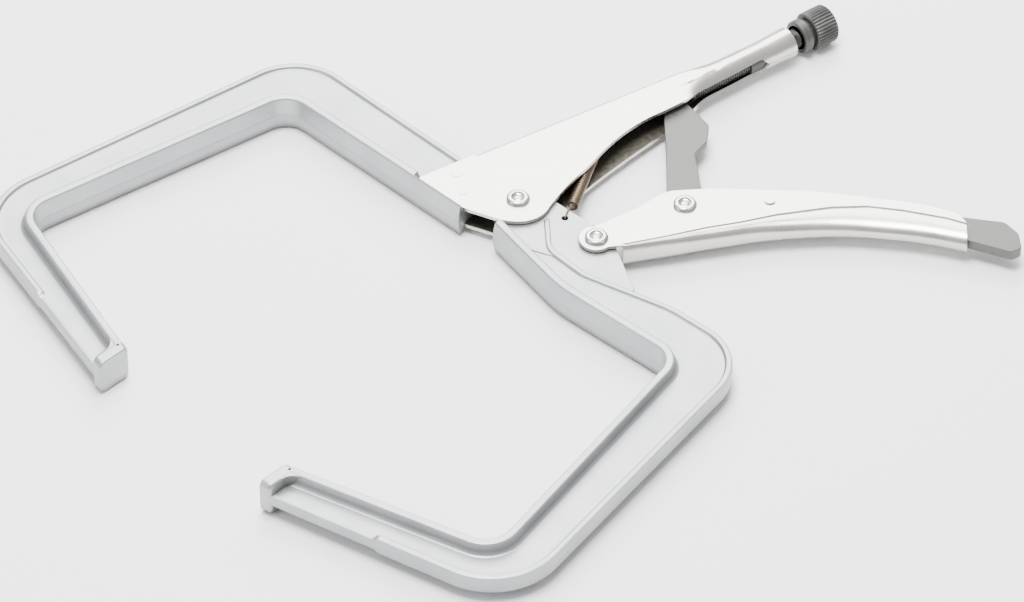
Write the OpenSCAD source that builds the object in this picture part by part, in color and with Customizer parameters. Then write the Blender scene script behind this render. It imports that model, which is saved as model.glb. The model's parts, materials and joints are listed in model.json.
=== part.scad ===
// Locking C clamp with two C-shaped cast arms, a channel handle, a toggle link and an adjusting screw.
// Millimetres. The clamp lies on its side: Z is its thickness, with the middle plane at z = 0.
// Every part is drawn about the main pivot; placed() then moves the origin to the fixed grip face.

/* [Clamp] */
// Distance from the main pivot to the middle of each grip face, along X
reach = 225; // [215:1:235]
// Half of the opening between the two grip faces at rest
half_gap = 57; // [54:1:60]
// Angle of the lower handle at rest, from X
handle_angle = -45; // [-47:1:-43]

/* [Cast arms] */
// Half thickness of the wide inner flange and of the grip pads
flange_half = 10; // [8:0.5:10]
// Half thickness of the web
web_half = 3.5; // [3:0.5:4]
// Half thickness of the bead along the outer edge
bead_half = 5; // [4.5:0.5:6]
// Width of the inner flange
flange_w = 4.5; // [4:0.5:6]
// Width of the outer bead
bead_w = 3.5; // [3:0.5:5]
// Thickness of the grip pad
pad_t = 7; // [6:0.5:9]

/* [Handles] */
// Outer half width of both channel handles
channel_half = 6.5; // [6.5:0.5:7.5]
// Sheet thickness of the handles
sheet = 2; // [1.5:0.1:2]
// Outer radius of the rolled tube end
tube_r = 8.5; // [8:0.1:9]
// Angle of the screw axis, from X
screw_angle = -8; // [-9:0.5:-7]

/* [Fasteners] */
// Radius of the large rivet shanks
rivet_r = 4; // [3.5:0.1:4]
// Radius of the large rivet heads
head_r = 6; // [5.5:0.1:6.5]
// Height of the rivet heads
head_h = 2; // [1:0.1:2]
// Radial clearance of every shaft in its hole
fit = 0.05; // [0.03:0.01:0.08]

/* [Screw] */
// Outer radius of the screw thread
screw_r = 5; // [4.5:0.1:5]
// Radius of the knurled knob
knob_r = 10.5; // [9:0.1:10.5]
// Length of the knurled knob
knob_l = 21; // [18:1:24]

/* [Hidden] */
$fn = 48;
gap_half = channel_half - sheet;
hub_half = 4;
link_half = 1.9;
handle_pivot = [7.4, -48.4];
link_pivot = [45.1, 24.7];
lever_pivot = [88.3, 27.7];
link_end = [-3.4, 88];
screw_point = [136.4, -1.1];
spring_hole = [8.6, -25];
anchor = [80, 14];

// ---- outlines ----

function unit(v) = v / norm(v);
function xy(p) = [p[0], p[1]];
function left_of(a, b) = let (d = unit(b - a)) [-d[1], d[0]];

// Points of the arc that rounds corner b, between its neighbours a and c
function arc_at(a, b, c, r, n = 8) =
    let (u = unit(a - b), w = unit(c - b), half = acos(u * w) / 2,
        o = b + unit(u + w) * r / sin(half),
        p = b + u * r / tan(half) - o, q = b + w * r / tan(half) - o,
        a0 = atan2(p[1], p[0]), turn = atan2(q[1], q[0]) - a0,
        sweep = turn > 180 ? turn - 360 : turn < -180 ? turn + 360 : turn)
    [for (i = [0:n]) o + r * [cos(a0 + sweep * i / n), sin(a0 + sweep * i / n)]];

// A path of [x, y, radius] corners, with each corner rounded
function rounded(p) = let (last = len(p) - 1) concat([xy(p[0])],
    [for (i = [1:last - 1]) each arc_at(xy(p[i - 1]), xy(p[i]), xy(p[i + 1]), p[i][2])],
    [xy(p[last])]);

// The same path moved sideways by d, to its left when d is positive
function moved(p, d) = let (last = len(p) - 1) [for (i = [0:last])
    let (a = i > 0 ? left_of(xy(p[i - 1]), xy(p[i])) : left_of(xy(p[0]), xy(p[1])),
        b = i < last ? left_of(xy(p[i]), xy(p[i + 1])) : a,
        q = xy(p[i]) + (a + b) / (1 + a * b) * d,
        bend = a[0] * b[1] - a[1] * b[0])
    [q[0], q[1], i == 0 || i == last ? 0 : max(0.5, p[i][2] - d * sign(bend))]];

function turned(p) = [for (i = [len(p) - 1:-1:0]) p[i]];
function strip(p, d) = concat(rounded(p), turned(rounded(moved(p, d))));

// The concave side of an arm, from its bends to the far edge of its grip pad
pad_in = -reach + 9.5;
pad_out = -reach - 9.5;
bends_in = [[-29.5, 138, 13], [-184, 168, 14], [pad_in, half_gap, 2], [pad_out, half_gap, 0]];
bends_out = [[3, 162, 32], [-199, 196, 28], [-218, 116, 60], [pad_out + 1, half_gap + pad_t, 0]];
bead_stop = [[3, 162, 32], [-199, 196, 28], [-217.5, 117, 0]];

fixed_in = concat([[-27.5, 14, 0]], bends_in);
fixed_out = concat([[3, 18, 0]], bends_out);
fixed_bead = concat([[3, 42, 0]], bead_stop);
moving_in = concat([[-23.5, 7, 0], [-26.5, 22, 20], [-34, 62, 70]], bends_in);
moving_out = concat([[8, 14, 0], [-12, 36, 14], [-13, 62, 20], [0, 110, 60]], bends_out);
moving_bead = concat([[8, 14, 0], [-12, 36, 14], [-13, 62, 20], [0, 110, 60]], bead_stop);

module slab(half) linear_extrude(height = 2 * half, center = true) children();
module placed() translate([reach, -half_gap, 0]) children();
module both_faces() { children(); mirror([0, 0, 1]) children(); }

// One cast arm: web, wide inner flange that turns round into the grip pad, and outer bead
module arm(inside, outside, bead) {
    slab(web_half) polygon(concat(rounded(inside), turned(rounded(outside))));
    slab(flange_half) polygon(strip(inside, -flange_w));
    slab(bead_half) polygon(strip(bead, bead_w));
    slab(flange_half) polygon([[pad_in, half_gap], [pad_out, half_gap],
        [pad_out + 1, half_gap + pad_t], [pad_in + 1.5, half_gap + pad_t + 1]]);
}

module ring(outer, inner, low, high) translate([0, 0, low]) difference() {
    cylinder(r = outer, h = high - low);
    translate([0, 0, -1]) cylinder(r = inner, h = high - low + 2);
}

// A rivet with a low head and a peened dimple on both faces
module rivet(shank, head, half) difference() {
    union() {
        cylinder(r = shank, h = 2 * half + 0.2, center = true);
        both_faces() translate([0, 0, half]) {
            cylinder(r = head, h = head_h * 0.6);
            cylinder(r = head - 0.8, h = head_h);
        }
    }
    both_faces() translate([0, 0, half + head_h * 0.45]) cylinder(r = head * 0.55, h = head_h);
}

// ---- fixed side ----

module fixed_jaw() placed() color("gainsboro") difference() {
    union() {
        arm(fixed_in, fixed_out, fixed_bead);
        slab(gap_half - fit) polygon([[-22.5, 16], [2.5, 16], [2.5, 40], [-21.5, 45]]);
    }
    // the plates of the upper handle cover both faces here
    both_faces() translate([0, 0, gap_half - fit]) linear_extrude(height = 20)
        polygon([[-25.9, 10], [40, 10], [40, 30], [3.5, 43.6], [-23.9, 50], [-26, 34]]);
    for (p = [[-15, 24], [-8, 36]]) translate(p) cylinder(r = 3 + fit, h = 60, center = true);
}

module head_outline() polygon(concat([[-23.5, 47.3], [-25.3, 34.4], [-24.2, 14.6]],
    [for (a = [172:10:282]) 17 * [cos(a), sin(a)] + (a < 200 ? [-2.5, 0] : [0, 0])],
    [[26.4, -9.5], [51.3, -5.2], [94.7, -2.9], [122, -6], [150, -10.5], [150, 5.9], [140.4, 8.1]]));

module on_screw_axis() translate(screw_point) rotate([0, 0, screw_angle]) rotate([0, 90, 0]) children();

module upper_handle() placed() color("silver") difference() {
    union() {
        slab(channel_half) head_outline();
        on_screw_axis() translate([0, 0, 8]) cylinder(r = tube_r, h = 48);
    }
    // inside of the channel, open below, and open above where the fixed jaw enters
    slab(gap_half) polygon([[-40, 60], [8, 60], [8, 38], [34, 31.5], [142, 5.6],
        [152, -3], [152, -40], [-40, -40]]);
    // mouth of the tube, and the slot under it
    on_screw_axis() translate([0, 0, -20]) cylinder(r = tube_r - sheet, h = 62);
    on_screw_axis() cylinder(r = screw_r + 0.6, h = 80);
    translate(screw_point) rotate([0, 0, screw_angle]) translate([5, -12, -gap_half])
        cube([30, 12, 2 * gap_half]);
    cylinder(r = rivet_r + fit, h = 40, center = true);
    for (p = [[-15, 24], [-8, 36]]) translate(p) cylinder(r = 3 + fit, h = 40, center = true);
    translate(anchor) cylinder(r = 1.5 + fit, h = 2 * gap_half + 2.1, center = true);
}

module screw_nut() placed() color("dimgray") on_screw_axis() ring(tube_r - sheet - fit, screw_r + fit, 26, 41.9);

module main_pivot_rivet() placed() color("lightgray") rivet(rivet_r, head_r, channel_half);

module jaw_rivets() placed() color("lightgray") for (p = [[-15, 24], [-8, 36]]) translate(p)
    cylinder(r = 3, h = 2 * channel_half + 0.4, center = true);

module pivot_washers() placed() color("darkgray") both_faces()
    ring(10, rivet_r + fit, hub_half + 0.03, gap_half - 0.03);

module spring_anchor_pin() placed() color("dimgray") translate(anchor)
    cylinder(r = 1.5, h = 2 * gap_half + 2, center = true);

// Close-wound coil drawn as a row of rings between its two hooks
module return_spring() placed() color("saddlebrown") {
    run = anchor - spring_hole;
    body = norm(run) - 26;
    translate([spring_hole[0], spring_hole[1], 0]) rotate([0, 0, atan2(run[1], run[0])]) {
        translate([13, 0, 0]) rotate([0, 90, 0]) difference() {
            cylinder(r = 3.2, h = body);
            translate([0, 0, -1]) cylinder(r = 2.2, h = body + 2);
        }
        translate([7, 0, 0]) rotate([0, 90, 0]) cylinder(r = 0.5, h = 6.5);
        translate([13, 0, 0]) cube([1, 5.4, 1], center = true);
        translate([13 + body, 0, 0]) cube([1, 5.4, 1], center = true);
        translate([12.5 + body, 0, 0]) rotate([0, 90, 0]) cylinder(r = 0.5, h = 10.5);
    }
}

// ---- moving jaw ----

module moving_jaw() placed() color("gainsboro") difference() {
    mirror([0, 1, 0]) union() {
        difference() {
            arm(moving_in, moving_out, moving_bead);
            // the head plates sweep over this part, so it is no thicker than the hub
            both_faces() translate([0, 0, hub_half]) linear_extrude(height = 20) polygon(concat(
                [for (a = [90:15:150]) 19.5 * [cos(a), sin(a)]],
                [for (a = [155:8:203]) 25 * [cos(a), sin(a)]],
                [for (a = [210:15:360]) 19.5 * [cos(a), sin(a)]],
                [for (a = [15:15:75]) 19.5 * [cos(a), sin(a)]]));
        }
        slab(hub_half) circle(r = 14);
        slab(hub_half) polygon([[-14, 0], [14, 0], [14.5, 25], [16.2, 46], [10.5, 60],
            [-6, 84], [-14, 50], [-13, 36], [-26, 20]]);
    }
    cylinder(r = 5.5, h = 40, center = true);
    translate(handle_pivot) cylinder(r = 5.5, h = 40, center = true);
    translate(spring_hole) cylinder(r = 1.6, h = 40, center = true);
}

module pivot_bush() placed() color("peru") ring(5.5 - 0.02, rivet_r + fit, -hub_half, hub_half);

module handle_bush() placed() color("peru") translate(handle_pivot)
    ring(5.5 - 0.02, rivet_r + fit, -hub_half, hub_half);

// ---- lower handle, drawn about its own pivot with its length along X ----

module at_handle() placed() translate(handle_pivot) rotate([0, 0, handle_angle]) children();

top_edge = [[-2, 8, 0], [22, 23, 30], [36, 35, 14], [60, 37, 20], [110, 35, 120], [165, 25.5, 90],
    [184, 18, 8], [188, 9, 0]];
spine_edge = [[13.5, -7.2, 0], [42, -1.5, 120], [83, 7.5, 160], [124, 11, 160], [165, 5.5, 160],
    [187, -1, 0]];

module lower_handle() at_handle() color("silver") difference() {
    union() {
        slab(channel_half) circle(r = 9);
        slab(channel_half) polygon(concat(rounded(top_edge), turned(rounded(spine_edge)),
            [[6, -5], [-3, -3]]));
    }
    slab(gap_half) {
        polygon(concat([[-12, 60], [200, 60], [200, 1]],
            turned(rounded(moved(spine_edge, sheet))), [[13.5, -20], [-12, -20]]));
    }
    cylinder(r = rivet_r + fit, h = 40, center = true);
    translate(link_pivot) cylinder(r = rivet_r + fit, h = 40, center = true);
    translate(lever_pivot) cylinder(r = 2 + fit, h = 40, center = true);
}

module handle_rivet() at_handle() color("lightgray") rivet(rivet_r, head_r, channel_half);

module link_rivet() at_handle() color("lightgray") translate(link_pivot)
    rivet(rivet_r, head_r, channel_half);

module lever_rivet() at_handle() color("lightgray") translate(lever_pivot) {
    cylinder(r = 2, h = 2 * channel_half + 0.2, center = true);
    both_faces() translate([0, 0, channel_half]) cylinder(r = 2.8, h = 0.8);
}

module handle_washers() at_handle() color("darkgray") both_faces()
    ring(8.5, rivet_r + fit, hub_half + 0.03, gap_half - 0.03);

module link_washers() at_handle() color("darkgray") translate(link_pivot) both_faces()
    ring(8, rivet_r + fit, link_half + 0.03, gap_half - 0.03);

module lever_washers() at_handle() color("darkgray") translate(lever_pivot) both_faces()
    ring(4, 2 + fit, 3.03, gap_half - 0.03);

lever_edge = [[118, 22.5, 0], [82.5, 21.5, 5], [82, 33, 5], [112, 32.5, 60], [207, 15.5, 6],
    [213.5, 7, 5], [214.5, -4, 3], [209, -6.5, 3], [186, 2.8, 0]];

module release_lever() at_handle() color("dimgray") slab(3) difference() {
    polygon(concat(rounded(lever_edge), [[168, 10.5], [150, 19]]));
    translate(lever_pivot) circle(r = 2 + fit);
}

// ---- toggle link, drawn about its pivot in the lower handle ----

module toggle_link() at_handle() translate(link_pivot) color("dimgray") slab(link_half) difference() {
    union() {
        circle(r = 9);
        translate(link_end) circle(r = 4.5);
        polygon(concat([[-8.8, 0], [9, 0], [9, 16]], rounded([[9, 16, 0], [6, 44, 5], [12.5, 53, 4],
            [14, 66, 6], [8, 75, 8], [0.5, 86, 0]]), [[-7.4, 86], [-9.2, 70], [-8.5, 48]]));
    }
    circle(r = 5.3);
}

module link_bush() at_handle() translate(link_pivot) color("peru")
    ring(5.3 - 0.02, rivet_r + fit, -link_half, link_half);

// ---- adjusting screw and knob; z runs along the screw from its point towards the knob ----

module adjusting_screw() placed() color("dimgray") on_screw_axis() {
    translate([0, 0, -13]) cylinder(r1 = screw_r - 1.2, r2 = screw_r, h = 1.5);
    translate([0, 0, -11.5]) cylinder(r = screw_r, h = 71.5);
    translate([0, 0, 60]) cylinder(r = 3.5, h = 24);
}

module adjusting_knob() placed() color("dimgray") on_screw_axis() difference() {
    union() {
        translate([0, 0, 61]) cylinder(r = knob_r - 1.5, h = 5);
        translate([0, 0, 66]) cylinder(r = knob_r - 3, h = 2);
        translate([0, 0, 68]) cylinder(r = knob_r, h = knob_l - 7);
    }
    translate([0, 0, 60]) cylinder(r = 3.5 + fit, h = 40);
    for (i = [0:23]) rotate([0, 0, i * 15]) translate([knob_r + 0.5, 0, 67])
        cylinder(r = 1.1, h = knob_l, $fn = 16);
}

module knob_end_cap() placed() color("gray") on_screw_axis()
    ring(5.5, 3.5, 61 + knob_l + 0.3, 61 + knob_l + 2);

fixed_jaw();
moving_jaw();
upper_handle();
lower_handle();
toggle_link();
release_lever();
adjusting_screw();
adjusting_knob();
knob_end_cap();
screw_nut();
main_pivot_rivet();
jaw_rivets();
handle_rivet();
link_rivet();
lever_rivet();
pivot_bush();
handle_bush();
link_bush();
pivot_washers();
handle_washers();
link_washers();
lever_washers();
return_spring();
spring_anchor_pin();
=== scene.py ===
"""Looks of the locking C clamp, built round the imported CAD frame.

The frame is in metres, and the clamp lies on its side in it, with z as its thickness. Outlines are
in millimetres about one of the pivots, and at_pivot, at_handle and at_link take them into the frame.
An outline's corners are (x, y, radius) where it is rounded, and the rest are plain (x, y) points.
"""

import json
import math

import bmesh
import bpy
from mathutils import Matrix, Vector


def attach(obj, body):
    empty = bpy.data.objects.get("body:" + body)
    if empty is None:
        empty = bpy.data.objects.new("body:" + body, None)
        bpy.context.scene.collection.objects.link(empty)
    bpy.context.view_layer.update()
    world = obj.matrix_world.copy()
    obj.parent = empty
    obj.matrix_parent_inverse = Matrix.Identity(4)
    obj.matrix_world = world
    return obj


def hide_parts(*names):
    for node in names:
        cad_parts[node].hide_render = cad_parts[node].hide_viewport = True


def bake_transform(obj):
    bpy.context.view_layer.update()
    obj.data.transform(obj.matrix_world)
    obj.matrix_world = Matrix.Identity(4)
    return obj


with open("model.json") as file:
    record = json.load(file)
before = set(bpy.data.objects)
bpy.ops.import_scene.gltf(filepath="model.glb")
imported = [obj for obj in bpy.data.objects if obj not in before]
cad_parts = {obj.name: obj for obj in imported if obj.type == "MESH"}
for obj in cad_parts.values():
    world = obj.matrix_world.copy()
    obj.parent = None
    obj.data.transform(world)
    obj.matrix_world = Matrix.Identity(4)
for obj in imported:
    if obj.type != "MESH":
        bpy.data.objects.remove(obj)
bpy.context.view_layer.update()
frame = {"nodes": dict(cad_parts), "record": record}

NODES = frame["nodes"]
JOINTS = {j["name"]: j for j in frame["record"]["behaviour"]["joints"]}

PIVOT = Vector(JOINTS["jaw_pivot"]["pos_m"])
HANDLE_PIVOT = Vector(JOINTS["handle_pivot"]["pos_m"])
LINK_PIVOT = Vector(JOINTS["link_pivot"]["pos_m"])
SCREW_AXIS = Vector(JOINTS["screw_travel"]["axis"]).normalized()
SCREW_BASE = Vector(JOINTS["knob_turn"]["pos_m"])
HANDLE_TURN = math.radians(-45)

# Millimetres, as in the CAD
REACH, HALF_GAP = 225, 57
PAD_IN, PAD_OUT = -REACH + 9.5, -REACH - 9.5
FLANGE, WEB, BEAD = 10.0, 3.5, 5.0
CHANNEL, SHEET = 6.5, 2.0
FOLD_R, SHEET_EDGE = 2.6, 0.3
EAR_HALF, LINK_HALF, LEVER_HALF = 4.0, 1.9, 3.0
RIVET_R, RIVET_HEAD_R, RIVET_HEAD_H = 4.0, 6.0, 2.0
SCREW_R, SHANK_R, PITCH = 5.0, 3.5, 1.5
COIL_R, WIRE_R = 2.7, 0.43
FLOOR_Z = -0.0106
Z = Vector((0, 0, 1))


# ---------------------------------------------------------------- small helpers


def frame_of(origin, turn=0.0):
    """A function that takes millimetres about origin, turned in the plane, into the frame."""
    c, s = math.cos(turn), math.sin(turn)

    def place(x, y, z=0.0):
        return Vector(
            (origin.x + (c * x - s * y) / 1000, origin.y + (s * x + c * y) / 1000, z / 1000)
        )

    return place


at_pivot = frame_of(PIVOT)
at_handle = frame_of(HANDLE_PIVOT, HANDLE_TURN)
at_link = frame_of(LINK_PIVOT, HANDLE_TURN)


def lerp(a, b, t):
    return a + (b - a) * t


def smooth(t):
    t = min(1.0, max(0.0, t))
    return t * t * (3 - 2 * t)


def along(table, x):
    """Piecewise linear value at x in a list of (x, value) pairs."""
    if x <= table[0][0]:
        return table[0][1]
    for (x0, y0), (x1, y1) in zip(table, table[1:]):
        if x <= x1:
            return lerp(y0, y1, (x - x0) / (x1 - x0))
    return table[-1][1]


def eased(table, x):
    """The same with a Catmull-Rom curve through the points."""
    if x <= table[0][0]:
        return table[0][1]
    if x >= table[-1][0]:
        return table[-1][1]
    k = next(i for i in range(len(table) - 1) if x <= table[i + 1][0])
    (x1, y1), (x2, y2) = table[k], table[k + 1]
    x0, y0 = table[k - 1] if k else (2 * x1 - x2, 2 * y1 - y2)
    x3, y3 = table[k + 2] if k + 2 < len(table) else (2 * x2 - x1, 2 * y2 - y1)
    t, h = (x - x1) / (x2 - x1), x2 - x1
    m1, m2 = h * (y2 - y0) / (x2 - x0), h * (y3 - y1) / (x3 - x1)
    t2, t3 = t * t, t * t * t
    places = (2 * t3 - 3 * t2 + 1) * y1 + (3 * t2 - 2 * t3) * y2
    slopes = (t3 - 2 * t2 + t) * m1 + (t3 - t2) * m2
    return places + slopes


def on_circle(r, degrees, x=0.0, y=0.0):
    """Points at these angles on a circle."""
    return [(x + r * math.cos(math.radians(a)), y + r * math.sin(math.radians(a))) for a in degrees]


def corner(a, b, c, r, n=10):
    """Points of the arc of radius r that rounds corner b between its neighbours."""
    a, b, c = Vector(a), Vector(b), Vector(c)
    u, w = (a - b).normalized(), (c - b).normalized()
    half = u.angle(w) / 2
    o = b + (u + w).normalized() * r / math.sin(half)
    p, q = b + u * r / math.tan(half) - o, b + w * r / math.tan(half) - o
    a0 = math.atan2(p.y, p.x)
    sweep = (math.atan2(q.y, q.x) - a0 + math.pi) % (2 * math.pi) - math.pi
    return [
        (o.x + r * math.cos(a0 + sweep * i / n), o.y + r * math.sin(a0 + sweep * i / n))
        for i in range(n + 1)
    ]


def rounded(path, n=10):
    """A path of (x, y, radius) corners with each inner corner rounded."""
    out = [path[0][:2]]
    for a, b, c in zip(path, path[1:], path[2:]):
        out += corner(a[:2], b[:2], c[:2], b[2], n) if b[2] else [b[:2]]
    return out + [path[-1][:2]]


def resampled(points, n):
    """n points at equal spacing along a polyline."""
    pts = [Vector(p) for p in points]
    run = [0.0]
    for a, b in zip(pts, pts[1:]):
        run.append(run[-1] + (b - a).length)
    out, k = [], 0
    for i in range(n):
        s = run[-1] * i / (n - 1)
        while k < len(run) - 2 and run[k + 1] < s:
            k += 1
        t = (s - run[k]) / max(run[k + 1] - run[k], 1e-9)
        out.append(pts[k].lerp(pts[k + 1], min(1.0, t)))
    return out


def mesh_object(name, verts, faces, smooth_angle=40):
    mesh = bpy.data.meshes.new(name)
    mesh.from_pydata([tuple(v) for v in verts], [], faces)
    mesh.update()
    bm = bmesh.new()
    bm.from_mesh(mesh)
    bmesh.ops.remove_doubles(bm, verts=bm.verts, dist=2e-6)
    bmesh.ops.recalc_face_normals(bm, faces=bm.faces)
    bm.to_mesh(mesh)
    bm.free()
    obj = bpy.data.objects.new(name, mesh)
    bpy.context.collection.objects.link(obj)
    shade(obj, smooth_angle)
    return obj


def shade(obj, angle):
    for p in obj.data.polygons:
        p.use_smooth = True
    obj.data.set_sharp_from_angle(angle=math.radians(angle))


def flat_faces(obj):
    """Keeps large flat faces flat beside their rounded edges."""
    even = obj.modifiers.new("even", "WEIGHTED_NORMAL")
    even.keep_sharp = True
    even.weight = 60
    return obj


def loft(name, rings, closed_ring=True, caps=True, skip=None, smooth_angle=40):
    """A skin over rings of points; skip(i, j) leaves out the face after ring i, point j."""
    n = len(rings[0])
    verts = [v for ring in rings for v in ring]
    faces = []
    for i in range(len(rings) - 1):
        for j in range(n if closed_ring else n - 1):
            if skip and skip(i, j):
                continue
            k = (j + 1) % n
            faces.append((i * n + j, i * n + k, (i + 1) * n + k, (i + 1) * n + j))
    if caps and closed_ring:
        faces.append(tuple(range(n)))
        faces.append(tuple((len(rings) - 1) * n + j for j in range(n)))
    return mesh_object(name, verts, faces, smooth_angle)


def lathe(name, profile, base, axis, n=64, dent=None, smooth_angle=35):
    """A turned piece: (height, radius) in mm along axis; dent(angle, height) changes the radius."""
    axis = axis.normalized()
    side = axis.orthogonal().normalized()
    if abs(axis.z) < 0.5:
        side = Vector((0, 0, 1))
    up = axis.cross(side)
    rings = []
    for h, r in profile:
        ring = []
        for k in range(n):
            a = 2 * math.pi * k / n
            rr = (r + (dent(a, h) if dent else 0.0)) / 1000
            out = side * (rr * math.cos(a)) + up * (rr * math.sin(a))
            ring.append(base + axis * (h / 1000) + out)
        rings.append(ring)
    return loft(name, rings, smooth_angle=smooth_angle)


def plate(name, place, outline, half, bevel, holes=(), z=0.0):
    """A flat plate with rounded edges from an outline in mm, with round holes (x, y, r)."""
    curve = bpy.data.curves.new(name, "CURVE")
    curve.dimensions = "2D"
    curve.fill_mode = "BOTH"
    curve.extrude = (half - bevel) / 1000
    curve.bevel_depth = bevel / 1000
    curve.bevel_resolution = 3
    curve.offset = -bevel / 1000
    loops = [outline] + [on_circle(r, range(0, 360, 9), x, y) for x, y, r in holes]
    for loop in loops:
        spline = curve.splines.new("POLY")
        spline.points.add(len(loop) - 1)
        spline.use_cyclic_u = True
        for point, (x, y) in zip(spline.points, loop):
            v = place(x, y)
            point.co = (v.x, v.y, 0, 1)
    shape = bpy.data.objects.new(name + "_curve", curve)
    bpy.context.collection.objects.link(shape)
    bpy.context.view_layer.update()
    graph = bpy.context.evaluated_depsgraph_get()
    mesh = bpy.data.meshes.new_from_object(shape.evaluated_get(graph))
    bpy.data.objects.remove(shape)
    mesh.name = name
    mesh.transform(Matrix.Translation((0, 0, z / 1000)))
    obj = bpy.data.objects.new(name, mesh)
    bpy.context.collection.objects.link(obj)
    bm = bmesh.new()
    bm.from_mesh(mesh)
    bmesh.ops.remove_doubles(bm, verts=bm.verts, dist=2e-6)
    bmesh.ops.recalc_face_normals(bm, faces=bm.faces)
    bm.to_mesh(mesh)
    bm.free()
    shade(obj, 50)
    return flat_faces(obj)


def join(name, *objs):
    """One mesh object out of several, with every face kept."""
    bm = bmesh.new()
    for o in objs:
        bm.from_mesh(o.data)
    mesh = bpy.data.meshes.new(name)
    bm.to_mesh(mesh)
    bm.free()
    for o in objs:
        bpy.data.objects.remove(o)
    obj = bpy.data.objects.new(name, mesh)
    bpy.context.collection.objects.link(obj)
    shade(obj, 40)
    return flat_faces(obj)


def thicken(obj, amount, bevel=0.0):
    """Sheet metal from an open surface, with broken edges."""
    solid = obj.modifiers.new("sheet", "SOLIDIFY")
    solid.thickness = amount / 1000
    solid.offset = -1
    solid.use_even_offset = True
    # The inner surface takes the next material slot, which holds the painted shade of the channel's
    # inside.
    solid.material_offset = 1
    if bevel:
        edge = obj.modifiers.new("edge", "BEVEL")
        edge.width = bevel / 1000
        edge.segments = 3
        edge.limit_method = "ANGLE"
        edge.angle_limit = math.radians(50)
        edge.harden_normals = True


def soften(obj, width=0.4):
    """Broken edges on a CAD node, by modifiers only."""
    weld = obj.modifiers.new("weld", "WELD")
    weld.merge_threshold = 2e-6
    edge = obj.modifiers.new("edge", "BEVEL")
    edge.width = width / 1000
    edge.segments = 3
    edge.limit_method = "ANGLE"
    edge.angle_limit = math.radians(35)
    edge.harden_normals = True


# ---------------------------------------------------------------- materials


class Nodes:
    """Short names for building a node material."""

    def __init__(self, name):
        self.mat = bpy.data.materials.new(name)
        self.mat.use_nodes = True
        self.tree = self.mat.node_tree
        self.shader = self.tree.nodes["Principled BSDF"]
        coord = self.add("ShaderNodeTexCoord")
        self.where = coord.outputs["Object"]

    def add(self, kind, **values):
        node = self.tree.nodes.new(kind)
        for key, value in values.items():
            setattr(node, key, value)
        return node

    def link(self, a, b):
        self.tree.links.new(a, b)

    def noise(self, scale, detail=4.0, rough=0.55, where=None):
        node = self.add("ShaderNodeTexNoise")
        node.inputs["Scale"].default_value = scale
        node.inputs["Detail"].default_value = detail
        node.inputs["Roughness"].default_value = rough
        self.link(where or self.where, node.inputs["Vector"])
        return node.outputs["Fac"]

    def ramp(self, fac, *stops):
        node = self.add("ShaderNodeValToRGB")
        elements = node.color_ramp.elements
        while len(elements) < len(stops):
            elements.new(0.5)
        for element, (pos, colour) in zip(elements, stops):
            element.position = pos
            element.color = (*colour, 1) if len(colour) == 3 else colour
        self.link(fac, node.inputs["Fac"])
        return node.outputs["Color"]

    def spread(self, fac, low, high, start=0.3, end=0.7):
        node = self.add("ShaderNodeMapRange")
        for key, value in (("From Min", start), ("From Max", end), ("To Min", low), ("To Max", high)):
            node.inputs[key].default_value = value
        self.link(fac, node.inputs["Value"])
        return node.outputs["Result"]

    def stretched(self, scale, turn=0.0):
        node = self.add("ShaderNodeMapping")
        node.inputs["Scale"].default_value = scale
        node.inputs["Rotation"].default_value = (0, 0, turn)
        self.link(self.where, node.inputs["Vector"])
        return node.outputs["Vector"]

    def bump(self, *layers):
        """Each layer is (height output, strength, distance in mm)."""
        last = None
        for height, strength, distance in layers:
            node = self.add("ShaderNodeBump")
            node.inputs["Strength"].default_value = strength
            node.inputs["Distance"].default_value = distance / 1000
            self.link(height, node.inputs["Height"])
            if last:
                self.link(last, node.inputs["Normal"])
            last = node.outputs["Normal"]
        self.link(last, self.shader.inputs["Normal"])

    def set(self, **values):
        for key, value in values.items():
            self.shader.inputs[key.replace("_", " ")].default_value = value

    def worn(self, colour, edge_colour, low=0.52, high=0.6):
        """Mixes in edge_colour where the mesh is convex."""
        geo = self.add("ShaderNodeNewGeometry")
        fac = self.spread(geo.outputs["Pointiness"], 0.0, 1.0, low, high)
        mix = self.add("ShaderNodeMix", data_type="RGBA")
        self.link(fac, mix.inputs["Factor"])
        self.link(colour, mix.inputs["A"])
        mix.inputs["B"].default_value = (*edge_colour, 1)
        return mix.outputs["Result"]


def cast_aluminium():
    """Bead-blasted casting: pale, fine pitted grain, slight patchiness, and painted shade that darkens
    its hollows.
    """
    m = Nodes("cast_aluminium")
    grain = m.noise(2600, 3, 0.6)
    patch = m.noise(45, 4, 0.5)
    pits = m.noise(900, 2, 0.5)
    base = m.ramp(patch, (0.3, (0.33, 0.338, 0.35)), (0.7, (0.39, 0.395, 0.403)))
    # Painted shade: ambient occlusion mixes the colour towards dark grey in hollows and between parts.
    hollow_shade_ao = m.add("ShaderNodeAmbientOcclusion")
    hollow_shade_ao.inputs["Distance"].default_value = 0.008
    hollow_shade_ao.samples = 8
    painted_shade_mix = m.add("ShaderNodeMix", data_type="RGBA")
    m.link(m.spread(hollow_shade_ao.outputs["AO"], 0.0, 1.0, 0.35, 0.85), painted_shade_mix.inputs["Factor"])
    painted_shade_mix.inputs["A"].default_value = (0.15, 0.15, 0.145, 1)
    m.link(base, painted_shade_mix.inputs["B"])
    m.link(painted_shade_mix.outputs["Result"], m.shader.inputs["Base Color"])
    m.link(m.spread(grain, 0.34, 0.48), m.shader.inputs["Roughness"])
    m.set(Metallic=0.8)
    m.bump((pits, 0.22, 0.25), (grain, 0.4, 0.12))
    return m.mat


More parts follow.
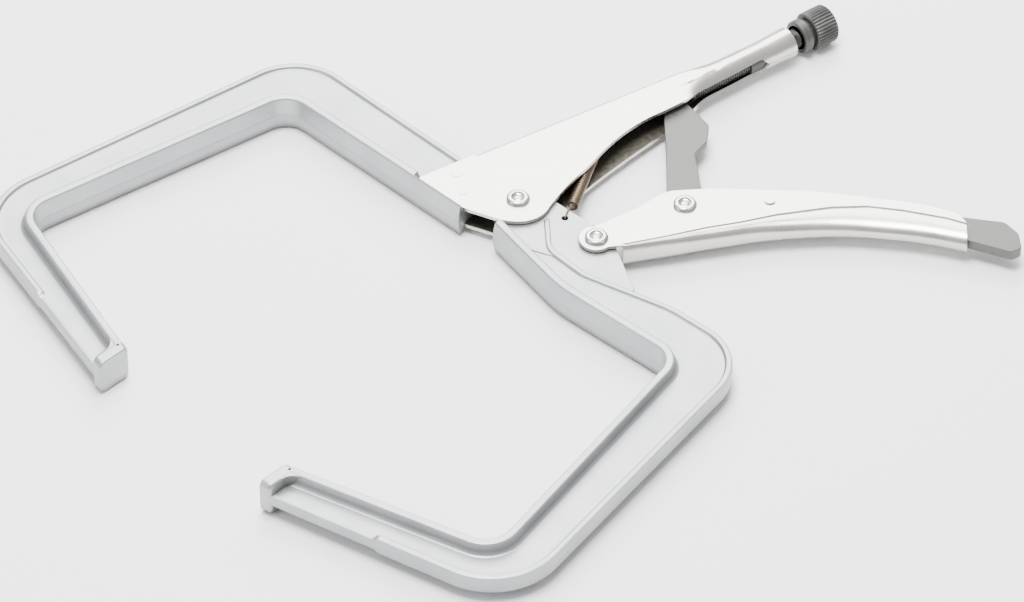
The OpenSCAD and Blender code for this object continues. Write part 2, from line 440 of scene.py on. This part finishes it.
def plated_steel(name, low, high, rough=(0.25, 0.33)):
    """Satin nickel over pressed steel: faint polishing lines and cloudy gloss."""
    m = Nodes(name)
    lines = m.noise(620, 3, 0.6, m.stretched((0.06, 1.6, 1.0), math.radians(20)))
    cloud = m.noise(60, 4, 0.6)
    m.link(m.ramp(cloud, (0.3, low), (0.7, high)), m.shader.inputs["Base Color"])
    m.link(m.spread(cloud, *rough), m.shader.inputs["Roughness"])
    m.set(Metallic=1.0)
    m.bump((lines, 0.10, 0.06), (m.noise(220, 2), 0.06, 0.15))
    return m.mat


def phosphate(name, dark, light, edge, rough=(0.38, 0.55), metallic=0.6):
    """Dark phosphate-coated steel, lighter where edges are rubbed."""
    m = Nodes(name)
    mottled = m.noise(420, 5, 0.6)
    colour = m.ramp(mottled, (0.32, dark), (0.68, light))
    m.link(m.worn(colour, edge), m.shader.inputs["Base Color"])
    m.link(m.spread(mottled, *rough), m.shader.inputs["Roughness"])
    m.set(Metallic=metallic)
    m.bump((m.noise(1500, 3), 0.25, 0.08),)
    return m.mat


MATERIALS = {
    "cast_aluminium": cast_aluminium(),
    "nickel_steel": plated_steel("nickel_steel", (0.53, 0.515, 0.485), (0.58, 0.565, 0.535)),
    "rivet_steel": plated_steel("rivet_steel", (0.48, 0.47, 0.44), (0.60, 0.59, 0.57), (0.18, 0.34)),
    "black_steel": phosphate(
        "black_steel", (0.030, 0.030, 0.028), (0.058, 0.058, 0.055), (0.14, 0.14, 0.135)
    ),
    "link_steel": phosphate(
        "link_steel", (0.085, 0.085, 0.078), (0.12, 0.12, 0.11), (0.2, 0.2, 0.19)
    ),
    # Painted shade: the inner surfaces of the channels get a dark oily-steel colour where shade falls
    # inside the U.
    "channel_inside_painted_shade": phosphate(
        "channel_inside_painted_shade", (0.07, 0.065, 0.05), (0.13, 0.12, 0.095), (0.3, 0.29, 0.26), (0.35, 0.5), 0.7
    ),
    "bronze": plated_steel("bronze", (0.45, 0.27, 0.12), (0.60, 0.38, 0.19), (0.25, 0.4)),
    "spring_steel": phosphate(
        "spring_steel", (0.06, 0.04, 0.026), (0.12, 0.082, 0.055), (0.24, 0.18, 0.13), (0.3, 0.45), 0.9
    ),
}


def dress(obj, slot, body=None, *replaced):
    """Gives a piece its material and slot, its body, and the CAD nodes it stands for."""
    obj.data.materials.clear()
    obj.data.materials.append(MATERIALS[slot])
    if body:
        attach(obj, body)
    if replaced:
        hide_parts(*replaced)
    return obj


# ---------------------------------------------------------------- cast arms


BENDS_IN = [(-29.5, 138, 13), (-184, 168, 14)]
BENDS_OUT = [(3, 162, 32), (-199, 196, 38)]
TIP_IN = (PAD_IN, HALF_GAP + 4, 0)
TIP_OUT = (PAD_OUT + 1, HALF_GAP + 4, 0)
BEAD_END_Y, STEP_LENGTH = 117, 1.2
ROOT_N, BEND_N, MIDDLE_N, LAST_N = 72, 16, 44, 96
RIM, FILLET, CROWN, STRIP = 4.6, 2.2, 1.6, 3.2


def arm_line(start, bends, tip):
    """Stations along one edge: root, bend, middle, bend, and last stretch, with set counts."""
    first = corner(start[-1][:2], bends[0][:2], bends[1][:2], bends[0][2], BEND_N)
    second = corner(bends[0][:2], bends[1][:2], tip[:2], bends[1][2], BEND_N)
    root = rounded([*start, (*first[0], 0)], 8) if len(start) > 1 else [start[0][:2], first[0]]
    return (
        resampled(root, ROOT_N)[:-1]
        + [Vector(p) for p in first]
        + resampled([first[-1], second[0]], MIDDLE_N)[1:-1]
        + [Vector(p) for p in second]
        + resampled([second[-1], tip[:2]], LAST_N)[1:]
    )


def arm_section(width, bead):
    """Upper half of the section as (distance from the inner face, height), inner to outer.

    The inner face is crowned: it stands out most at the parting line, at mid thickness.
    """
    pts = [(-CROWN, 0.0), (-CROWN + 0.25, 0.35), (-CROWN * 0.55, FLANGE * 0.5), (-0.1, FLANGE - 1.0)]
    pts += [(0.25, FLANGE - 0.35), (0.9, FLANGE)]
    pts += [(RIM - 1.0, FLANGE), (RIM - 0.35, FLANGE - 0.3), (RIM, FLANGE - 0.9)]
    pts += [
        (RIM + 0.5 + FILLET * (1 - math.cos(a)), WEB + FILLET * (1 - math.sin(a)))
        for a in (math.radians(d) for d in (0, 25, 50, 72, 90))
    ]
    strip_at, lift = width - STRIP, bead - WEB
    pts += [(lerp(RIM + FILLET, strip_at - 1, t) + 0.3, WEB) for t in (0.25, 0.5, 0.75)]
    return pts + [
        (strip_at - 1.0, WEB),
        (strip_at - 0.35, WEB + lift * 0.25),
        (strip_at, WEB + lift * 0.8),
        (strip_at + 0.5, bead),
        (width - 0.9, bead),
        (width - 0.25, bead - 0.3),
        (width, bead - 1.0),
        (width + 0.15, 0.0),
    ]


def arm(name, start_in, start_out, flip, thin):
    """A cast arm as one skin. thin(point) gives the most half thickness allowed there."""
    inner = arm_line(start_in, BENDS_IN, TIP_IN)
    outer = arm_line(start_out, BENDS_OUT, TIP_OUT)
    rings = []
    for i, (a, b) in enumerate(zip(inner, outer)):
        across = b - a
        width, across = across.length, across.normalized()
        on_last = i > len(inner) - LAST_N
        beaded = smooth((a.y - BEAD_END_Y) / STEP_LENGTH + 0.5) if on_last else 1.0
        half = arm_section(width, lerp(WEB + 0.02, BEAD, beaded))
        points = []
        for t, z in half + [(t, -z) for t, z in reversed(half[1:-1])]:
            p = a + across * t
            limit = thin(p)
            points.append(at_pivot(p.x, -p.y if flip else p.y, max(-limit, min(limit, z))))
        rings.append(points)
    return loft(name, rings, smooth_angle=38)


PAD_CORNER_R, PAD_LEAN_OUT, PAD_LEAN_IN = 3.2, 0.14, 0.308
PAD_LEVELS = [(0, 0.9), (0.25, 0.35), (0.9, 0.0), (5.2, 0.0), (6.2, 0.3), (6.9, 1.0), (7.0, 2.2)]


def grip_pad(name, flip):
    """The enlarged tip, from its flat grip face back: each level is (depth, inset)."""
    sign = -1 if flip else 1
    rings = []
    for depth, inset in PAD_LEVELS:
        x0 = PAD_OUT + inset + PAD_LEAN_OUT * depth + PAD_CORNER_R
        x1 = PAD_IN - inset + PAD_LEAN_IN * depth - PAD_CORNER_R
        high = FLANGE - inset - PAD_CORNER_R
        ring = []
        for cx, cz, start in ((x1, high, 0), (x0, high, 90), (x0, -high, 180), (x1, -high, 270)):
            angles = [start + 90 * k / 8 for k in range(9)]
            for x, z in on_circle(PAD_CORNER_R, angles, cx, cz):
                ring.append(at_pivot(x, sign * (HALF_GAP + depth), z))
        rings.append(ring)
    return loft(name, rings, smooth_angle=38)


def pad_fillet(name, flip):
    """The curve that carries the flange round into the back of the grip pad."""
    sign = -1 if flip else 1
    up_the_flange, at_the_pad, across_the_pad = (-210.94, 92.8), (-219.4, 63.4), (-234, 64.6)
    curve = corner(up_the_flange, at_the_pad, across_the_pad, 7.5, 12)
    (x0, y0), (x1, y1) = curve[0], curve[-1]
    base_y = HALF_GAP + 4
    outline = [*curve, (x1, base_y), (PAD_IN - 0.4, base_y), (x0 + 3.9, y0)]
    return plate(name, at_pivot, [(x, sign * y) for x, y in outline], FLANGE - 0.25, 0.7)


# ---------------------------------------------------------------- arms in place


UNLIMITED = 30.0
UNDER_SWEEP, SWEEP_R, SWEEP_EASE = 3.96, 19.5, 3.0
UNDER_PLATE, PLATE_EASE = 4.42, 0.9


def swung(a):
    """How thick the moving jaw may be at a place near the pivot, since the head sweeps there."""
    away = math.hypot(a.x, a.y) - SWEEP_R
    return lerp(UNDER_SWEEP, UNLIMITED, smooth(away / SWEEP_EASE))


def under_plates(a):
    """How thick the fixed jaw may be at a place, since the head plates cover part of it."""
    inside = min(a.x + 25.4, 42.3 - 0.239 * a.x - a.y)
    return lerp(UNLIMITED, UNDER_PLATE, smooth(inside / PLATE_EASE))


fixed_jaw = join(
    "fixed_jaw_skin",
    arm("fixed_arm", [(-27.5, 14, 0)], [(3, 18, 0)], False, under_plates),
    grip_pad("fixed_pad", False),
    pad_fillet("fixed_fillet", False),
)
dress(fixed_jaw, "cast_aluminium", "clamp_frame", "fixed_jaw")

EAR_PATH = [(14, 0, 0), (14.5, 25, 4), (16.2, 46, 6), (10.5, 60, 12), (-4.5, 87, 0), (-8.3, 87, 0)]
EAR_PATH += [(-14.9, 62, 14), (-14.4, 44, 5), (-20, 30, 6), (-26, 20, 3), (-14, 0, 0)]
EAR = on_circle(14, range(-180, 1, 12)) + rounded(EAR_PATH)[1:-1]
BUSH_HOLES = [(0, 0, 5.5), (7.4, -48.4, 5.5)]
SPRING_HOLE = (8.6, -25, 1.6)

moving_jaw = join(
    "moving_jaw_skin",
    arm(
        "moving_arm",
        [(-23.5, 7, 0), (-26.5, 22, 20), (-34, 62, 70)],
        [(8, 14, 0), (-12, 36, 14), (-13, 62, 20), (0, 110, 60)],
        True,
        swung,
    ),
    grip_pad("moving_pad", True),
    pad_fillet("moving_fillet", True),
    plate(
        "ear_plate", at_pivot, [(x, -y) for x, y in EAR], EAR_HALF, 0.45, [*BUSH_HOLES, SPRING_HOLE]
    ),
)
dress(moving_jaw, "cast_aluminium", "jaw_body", "moving_jaw")


# ---------------------------------------------------------------- link and lever

LINK = on_circle(9, range(180, 361, 10))
LINK += rounded([(9, 16, 0), (6, 44, 5), (12.5, 53, 4), (14, 66, 6), (8, 75, 8), (0.8, 86, 0)])
LINK += on_circle(4.5, range(-10, 191, 15), -3.4, 88)
LINK += [(-9.2, 70), (-8.6, 48)]
link = plate("toggle_link_skin", at_link, LINK, LINK_HALF, 0.4, [(0, 0, 5.3)])
dress(link, "link_steel", "link_body", "toggle_link")

LEVER_FRONT = [(118, 22.5, 0), (82.5, 21.5, 5), (82, 33, 5), (112, 32.5, 60)]
LEVER_TAIL = [(207, 15.5, 6), (213.5, 7, 5), (214.5, -4, 3), (209, -6.5, 3), (186, 2.8, 0)]
LEVER = rounded(LEVER_FRONT + LEVER_TAIL) + [(168, 10.5), (150, 19)]
lever = plate("release_lever_skin", at_handle, LEVER, LEVER_HALF, 0.4, [(88.3, 27.7, 2.05)])
dress(lever, "link_steel", "lever_body", "release_lever")


# ---------------------------------------------------------------- pressed handles

CREASE = [(13.8, -5.0), (35.1, 0.9), (56.4, 7.6), (72.7, 11.4), (91, 17.0), (119.1, 22.6)]
CREASE += [(137.4, 23.3), (155.5, 20.3), (177.9, 14.4), (188, 10.0)]
TOP_PATH = [(-2, 8, 0), (22, 23, 30), (36, 35, 14), (60, 37, 20), (110, 35, 120), (165, 25.5, 90)]
TOP = rounded([*TOP_PATH, (184, 18, 8), (188, 9, 0)])
SPINE_PATH = [(13.5, -7.2, 0), (42, -1.5, 120), (83, 7.5, 160), (124, 11, 160), (165, 5.5, 160)]
SPINE = rounded([*SPINE_PATH, (187, -1, 0)])
CREASE_DEPTH, BACK_MIN = 0.75, 1.8
BACK_STEPS, SIDE_STEPS = 22, 9


def lower_section(x):
    """U section: flat sides, a crease, and a back that rounds over to a half ellipse."""
    crease = along(CREASE, x)
    top = max(along(TOP, x), crease + 1.2)
    deep = max(crease - along(SPINE, x), BACK_MIN)
    side = [lerp(top, crease + 0.8, k / (SIDE_STEPS - 1)) for k in range(SIDE_STEPS)]
    ring = [at_handle(x, y, CHANNEL) for y in side]
    ring.append(at_handle(x, crease, CHANNEL - CREASE_DEPTH))
    for k in range(BACK_STEPS + 1):
        a = math.pi * (k + 0.35) / (BACK_STEPS + 0.7)
        squared = math.copysign(abs(math.cos(a)) ** 0.8, math.cos(a))
        ring.append(at_handle(x, crease - deep * math.sin(a) ** 0.82, CHANNEL * 0.985 * squared))
    ring.append(at_handle(x, crease, CREASE_DEPTH - CHANNEL))
    return ring + [at_handle(x, y, -CHANNEL) for y in reversed(side)]


TOP_LINE = [(-25.4, 46.6), (-23.2, 47.2), (8, 39.8), (140.4, 8.1), (150, 5.9)]
HEAD_EDGE = [(-25.4, 33.5), (-24.9, 22), (-24.1, 15), (-20.6, 5), (-17.6, -3.2), (-14, -9.6)]
HEAD_EDGE += [(-9, -14.3), (-4, -16.5), (0, -17), (3.5, -16.6)]
NEAR_EDGE = [*HEAD_EDGE, (10, -14.4), (26.4, -10.3), (44, -7.6), (60, -4.4), (74, -2.8), (90, -3.4)]
NEAR_EDGE += [(104, -6.0), (118, -8.0), (150, -10.8)]
FAR_EDGE = [*HEAD_EDGE, (10, -15.2), (40, -11.0), (67, -9.6), (92, -9.4), (118, -9.6), (150, -11.0)]
TUBE_SIZE = [(100, 8.3), (128, 8.5), (152, 8.5), (166, 8.1), (174, 7.9), (182, 8.2), (192, 8.5)]
SLOT_HALF = [(100, 4.6), (168.5, 4.6), (171.5, 1.2), (173, 0.12), (192, 0.12)]
SCREW_POINT = (SCREW_BASE - PIVOT).xy * 1000
SCREW_ALONG = SCREW_AXIS.xy
SCREW_UP = Vector((-SCREW_ALONG.y, SCREW_ALONG.x))
FOLD_START = 8.01
SIDE_N, FOLD_N, TOP_N = 12, 7, 6
TUBE_START, TUBE_LAG, TUBE_EASE = 110, 16, 26


def folded_section(top, near, far, fold):
    """The U as (y, z): up the near side, over the top, and down the far side."""
    arc = on_circle(fold, [90 * k / (FOLD_N + 1) for k in range(1, FOLD_N + 1)])
    flat = CHANNEL - fold
    section = [(lerp(near, top - fold, k / (SIDE_N - 1)), CHANNEL) for k in range(SIDE_N)]
    section += [(top - fold + y, flat + z) for z, y in arc]
    section += [(top, lerp(flat, -flat, k / (TOP_N - 1))) for k in range(TOP_N)]
    section += [(top - fold + y, -flat - z) for z, y in reversed(arc)]
    return section + [
        (lerp(far, top - fold, k / (SIDE_N - 1)), -CHANNEL) for k in reversed(range(SIDE_N))
    ]


def tube_angles(slot):
    """Where each point of the U goes round the tube, in degrees, with its slot below."""
    return (
        [lerp(slot - 90, 42, k / (SIDE_N - 1)) for k in range(SIDE_N)]
        + [lerp(42, 68, k / (FOLD_N + 1)) for k in range(1, FOLD_N + 1)]
        + [lerp(68, 112, k / (TOP_N - 1)) for k in range(TOP_N)]
        + [lerp(112, 138, k / (FOLD_N + 1)) for k in range(1, FOLD_N + 1)]
        + [lerp(138, 270 - slot, k / (SIDE_N - 1)) for k in range(SIDE_N)]
    )


def upper_ring(x):
    """One section of the upper handle: a U at the head that turns into a slit tube at the rear."""
    fold = FOLD_R if x > FOLD_START else 0.25
    folded = folded_section(along(TOP_LINE, x), eased(NEAR_EDGE, x), eased(FAR_EDGE, x), fold)
    r = along(TUBE_SIZE, x)
    slot = math.degrees(math.asin(along(SLOT_HALF, x) / r))
    centre = SCREW_POINT + SCREW_ALONG * ((x - SCREW_POINT.x) / SCREW_ALONG.x)
    ring = []
    for (y, z), (side, rise) in zip(folded, on_circle(r, tube_angles(slot))):
        p = centre + SCREW_UP * rise
        t = smooth((x - TUBE_START - TUBE_LAG * (y > centre.y)) / TUBE_EASE)
        ring.append(at_pivot(lerp(x, p.x, t), lerp(y, p.y, t), lerp(z, side, t)))
    return ring


HEAD_STATIONS = [-25.35, -25.2, -24.9, -24.5, -24.1, -23.2, -22]
HEAD_STATIONS += [-21 + 1.5 * k for k in range(20)] + [8.0]
BODY_STATIONS = [8.5] + [10 + 3.0 * k for k in range(30)] + [100 + 1.15 * k for k in range(80)]
FOLD_FACES = range(SIDE_N, SIDE_N + 2 * FOLD_N + TOP_N - 1)

upper = loft(
    "upper_handle_skin",
    [upper_ring(x) for x in HEAD_STATIONS + BODY_STATIONS],
    closed_ring=False,
    caps=False,
    skip=lambda i, j: i < len(HEAD_STATIONS) and j in FOLD_FACES,
    smooth_angle=34,
)
thicken(upper, SHEET, SHEET_EDGE)
dress(upper, "nickel_steel", "clamp_frame", "upper_handle")
# Second slot: painted shade on the inside of the channel.
upper.data.materials.append(MATERIALS["channel_inside_painted_shade"])

lower = loft(
    "lower_back",
    [lower_section(x) for x in [13.5] + [14.5 + 2.2 * k for k in range(78)] + [187.0]],
    closed_ring=False,
    caps=False,
    smooth_angle=28,
)
thicken(lower, SHEET, 0.35)

CHEEK_END = 13.9
CHEEK = on_circle(9, range(104, 317, 8))
CHEEK += [(CHEEK_END, -5.6), (CHEEK_END, along(TOP, CHEEK_END) - 0.3)]
CHEEK += [(x, y) for x, y in reversed(resampled(TOP[:3], 6)) if x < CHEEK_END - 1]
cheeks = [
    plate(name, at_handle, CHEEK, SHEET / 2 - 0.02, 0.3, [(0, 0, 4.05)], z)
    for name, z in (("cheek_top", CHANNEL - SHEET / 2), ("cheek_under", SHEET / 2 - CHANNEL))
]
dress(join("lower_cheeks", *cheeks), "nickel_steel", "handle_body")
dress(lower, "nickel_steel", "handle_body", "lower_handle")
# Second slot: painted shade on the inside of the channel.
lower.data.materials.append(MATERIALS["channel_inside_painted_shade"])


# ---------------------------------------------------------------- turned pieces

# A rivet head from its rim to its middle, as (share of the head's height, distance in from the rim)
HEAD_PROFILE = [(0, 0), (0.35, 0), (0.72, 0.35), (0.95, 1.1), (1, 1.9), (0.95, 2.5), (0.55, 2.9)]
HEAD_PROFILE += [(0.42, 3.6), (0.62, 4.3), (0.66, RIVET_HEAD_R - 0.02)]


def hammered(a, h):
    """The slight unevenness that peening leaves round a rivet head."""
    return 0.10 * math.sin(3 * a + h) + 0.06 * math.sin(7 * a)


def rivet(name, centre):
    """A plain shank and two low heads, each with a raised rim and a peened dimple."""
    top = [(CHANNEL + RIVET_HEAD_H * up, RIVET_HEAD_R - into) for up, into in HEAD_PROFILE]
    low = [(-h, r) for h, r in reversed(top)]
    shank = [(-CHANNEL, RIVET_R), (CHANNEL, RIVET_R)]
    return lathe(name, low + shank + top, Vector((centre.x, centre.y, 0)), Z, 56, hammered)


for name, at, body, node in (
    ("main_rivet_skin", PIVOT, "clamp_frame", "main_pivot_rivet"),
    ("handle_rivet_skin", HANDLE_PIVOT, "handle_body", "handle_rivet"),
    ("link_rivet_skin", LINK_PIVOT, "handle_body", "link_rivet"),
):
    dress(rivet(name, at), "rivet_steel", body, node)

# The knob as (place along the screw, radius): collar, groove, knurled head and its dished end
KNOB = [(61, 5.2), (61, 8.4), (61.5, 8.9), (62.2, 9.0), (65.4, 9.0), (65.8, 8.6), (66, 7.6)]
KNOB += [(68, 7.5), (68.1, 9.2), (68.7, 10.2), (69.2, 10.5), (72, 10.5), (75, 10.5), (78, 10.5)]
KNOB += [(80.6, 10.5), (81.2, 10.3), (81.8, 9.4), (82, 8.6), (81.6, 8.2), (81.4, 3.7), (61, 3.7)]
KNURLS, KNURL_DEPTH, KNURL_FROM, KNURL_TO = 38, 0.5, 68.6, 81.4


def knurl(a, h):
    if not KNURL_FROM <= h <= KNURL_TO:
        return 0.0
    return -KNURL_DEPTH * (0.5 + 0.5 * math.cos(KNURLS * a)) ** 0.7


knob = lathe("adjusting_knob_skin", KNOB + [KNOB[0]], SCREW_BASE, SCREW_AXIS, 8 * KNURLS, knurl, 30)
dress(knob, "black_steel", "knob_body", "adjusting_knob")


def threaded(name, start, end, depth=0.85, n=40, per=8):
    """A single-start thread as a skin whose rings climb along the axis."""
    up = SCREW_AXIS.cross(Z)
    rings = []
    steps = int((end - start) / PITCH * per)
    for i in range(steps + 1):
        s = lerp(start, end, i / steps)
        fade = min(1.0, (s - start) / PITCH, (end - s) / PITCH)
        ring = []
        for k in range(n):
            tooth = abs((s / PITCH - k / n) % 1.0 * 2 - 1)
            r = (SCREW_R - depth * fade * (1 - min(1.0, tooth * 1.25))) / 1000
            a = 2 * math.pi * k / n
            out = Z * (r * math.cos(a)) + up * (r * math.sin(a))
            ring.append(SCREW_BASE + SCREW_AXIS * (s / 1000) + out)
        rings.append(ring)
    return loft(name, rings, smooth_angle=60)


TIP = [(-13, 2.6), (-12.6, 3.2), (-11.5, 4.0), (-11, 4.5), (-10.9, 4.5)]
SHANK = [(59.9, SHANK_R), (83.4, SHANK_R), (84, 2.9)]
screw = join(
    "adjusting_screw_skin",
    lathe("screw_tip", TIP, SCREW_BASE, SCREW_AXIS, 40),
    threaded("screw_thread", -11, 60),
    lathe("screw_shank", SHANK, SCREW_BASE, SCREW_AXIS, 40),
)
dress(screw, "black_steel", "screw_body", "adjusting_screw")


# ---------------------------------------------------------------- spring

HOOK, ANCHOR = at_pivot(*SPRING_HOLE[:2]), at_pivot(80, 14)
# The front hook as (distance towards the anchor, height): up out of the hole and over the ear
HOOK_LINE = [(0, -1.0), (0, 2.2), (0.15, 3.9), (0.9, 4.7), (2.2, 4.85), (6.0, 4.8), (8.6, 4.4)]
HOOK_LINE += [(10.6, 3.0), (12.2, 0.9)]
REAR_HOOK = [12.5, 8.0, 1.7]
COIL_INSET, TURNS, PER_TURN = 13, 44, 12


def tube(name, points, r, n):
    """A round wire along a polyline."""
    rings = []
    normal = None
    for i, p in enumerate(points):
        d = (points[min(i + 1, len(points) - 1)] - points[max(i - 1, 0)]).normalized()
        if normal is None:
            normal = d.orthogonal().normalized()
        normal = (normal - d * normal.dot(d)).normalized()
        side = d.cross(normal)
        turns = (2 * math.pi * k / n for k in range(n))
        rings.append([p + (normal * math.cos(a) + side * math.sin(a)) * r for a in turns])
    return loft(name, rings, smooth_angle=60)


def spring_line():
    """Hook, close-wound body and hook."""
    run = ANCHOR - HOOK
    ahead = run.normalized()
    across = ahead.cross(Z)
    line = [HOOK + ahead * (a / 1000) + Z * (z / 1000) for a, z in HOOK_LINE]
    for i in range(TURNS * PER_TURN + 1):
        t = i / (TURNS * PER_TURN)
        a = 2 * math.pi * TURNS * t
        r = COIL_R / 1000 * min(1.0, t * TURNS * 1.5, (1 - t) * TURNS * 1.5)
        along_run = lerp(COIL_INSET / 1000, run.length - COIL_INSET / 1000, t)
        line.append(HOOK + ahead * along_run + across * (r * math.cos(a)) + Z * (r * math.sin(a)))
    return line + [ANCHOR - ahead * (back / 1000) for back in REAR_HOOK]


spring = tube("return_spring_skin", spring_line(), WIRE_R / 1000, 8)
dress(spring, "spring_steel")
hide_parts("return_spring")
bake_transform(spring)


# ---------------------------------------------------------------- nodes kept as they are

LOOK = {
    "knob_end_cap": "black_steel",
    "screw_nut": "black_steel",
    "jaw_rivets": "rivet_steel",
    "lever_rivet": "rivet_steel",
    "pivot_bush": "bronze",
    "handle_bush": "bronze",
    "link_bush": "bronze",
    "pivot_washers": "rivet_steel",
    "handle_washers": "rivet_steel",
    "link_washers": "rivet_steel",
    "lever_washers": "rivet_steel",
    "spring_anchor_pin": "rivet_steel",
}
for name, slot in LOOK.items():
    NODES[name].data.materials.clear()
    NODES[name].data.materials.append(MATERIALS[slot])
    soften(NODES[name], 0.35)


# ---------------------------------------------------------------- stage, light and camera

floor_corners = [(x, y, FLOOR_Z) for x, y in ((-6, -6), (6, -6), (6, 6), (-6, 6))]
floor = mesh_object("floor", floor_corners, [(0, 1, 2, 3)])
paper = Nodes("paper")
paper_tone = paper.ramp(paper.noise(9, 3), (0.3, (0.90, 0.905, 0.91)), (0.7, (0.92, 0.92, 0.92)))
paper.link(paper_tone, paper.shader.inputs["Base Color"])
paper.link(paper.spread(paper.noise(300, 3), 0.75, 0.9), paper.shader.inputs["Roughness"])
floor.data.materials.append(paper.mat)

AIM = Vector((0.17435, -0.10335, 0))
EYE = Vector((-1.4287, -1.7064, 2.1363))
LENS_MM, SENSOR_MM = 219.0234375, 36


def area_light(name, place, size, power):
    data = bpy.data.lights.new(name, "AREA")
    data.shape = "DISK"
    data.size = size
    data.energy = power
    obj = bpy.data.objects.new(name, data)
    bpy.context.collection.objects.link(obj)
    obj.location = place
    obj.rotation_euler = (AIM - Vector(place)).to_track_quat("-Z", "Y").to_euler()


area_light("mirror_box", (1.15, 0.87, 1.30), 1.5, 64)
area_light("overhead", (0.1, 0.0, 1.9), 1.0, 88)
area_light("left", (-1.4, 0.5, 0.9), 0.8, 8)

world = bpy.context.scene.world or bpy.data.worlds.new("studio")
bpy.context.scene.world = world
world.use_nodes = True

# Sky brightness from straight below to straight above, as (share of the way up, level)
SKY = [(0.0, 0.4), (0.5, 0.12), (0.62, 0.30), (0.8, 0.8), (1.0, 1.0)]
sky = world.node_tree
sky_coord = sky.nodes.new("ShaderNodeTexCoord")
sky_split = sky.nodes.new("ShaderNodeSeparateXYZ")
sky_height = sky.nodes.new("ShaderNodeMapRange")
sky_ramp = sky.nodes.new("ShaderNodeValToRGB")
sky_height.inputs["From Min"].default_value = -1
sky.links.new(sky_coord.outputs["Generated"], sky_split.inputs["Vector"])
sky.links.new(sky_split.outputs["Z"], sky_height.inputs["Value"])
sky.links.new(sky_height.outputs["Result"], sky_ramp.inputs["Fac"])
sky.links.new(sky_ramp.outputs["Color"], sky.nodes["Background"].inputs["Color"])
sky_stops = sky_ramp.color_ramp.elements
for stop, level in SKY:
    element = sky_stops.new(stop) if 0 < stop < 1 else sky_stops[int(stop)]
    element.position = stop
    element.color = (level * 0.985, level * 0.99, level, 1)
sky.nodes["Background"].inputs["Strength"].default_value = 1.1

camera_data = bpy.data.cameras.new("camera")
camera_data.lens = LENS_MM
camera_data.sensor_width = SENSOR_MM
camera = bpy.data.objects.new("camera", camera_data)
bpy.context.collection.objects.link(camera)
camera.location = EYE
camera.rotation_euler = (AIM - EYE).to_track_quat("-Z", "Y").to_euler()
camera_data.clip_end = 20
bpy.context.scene.camera = camera
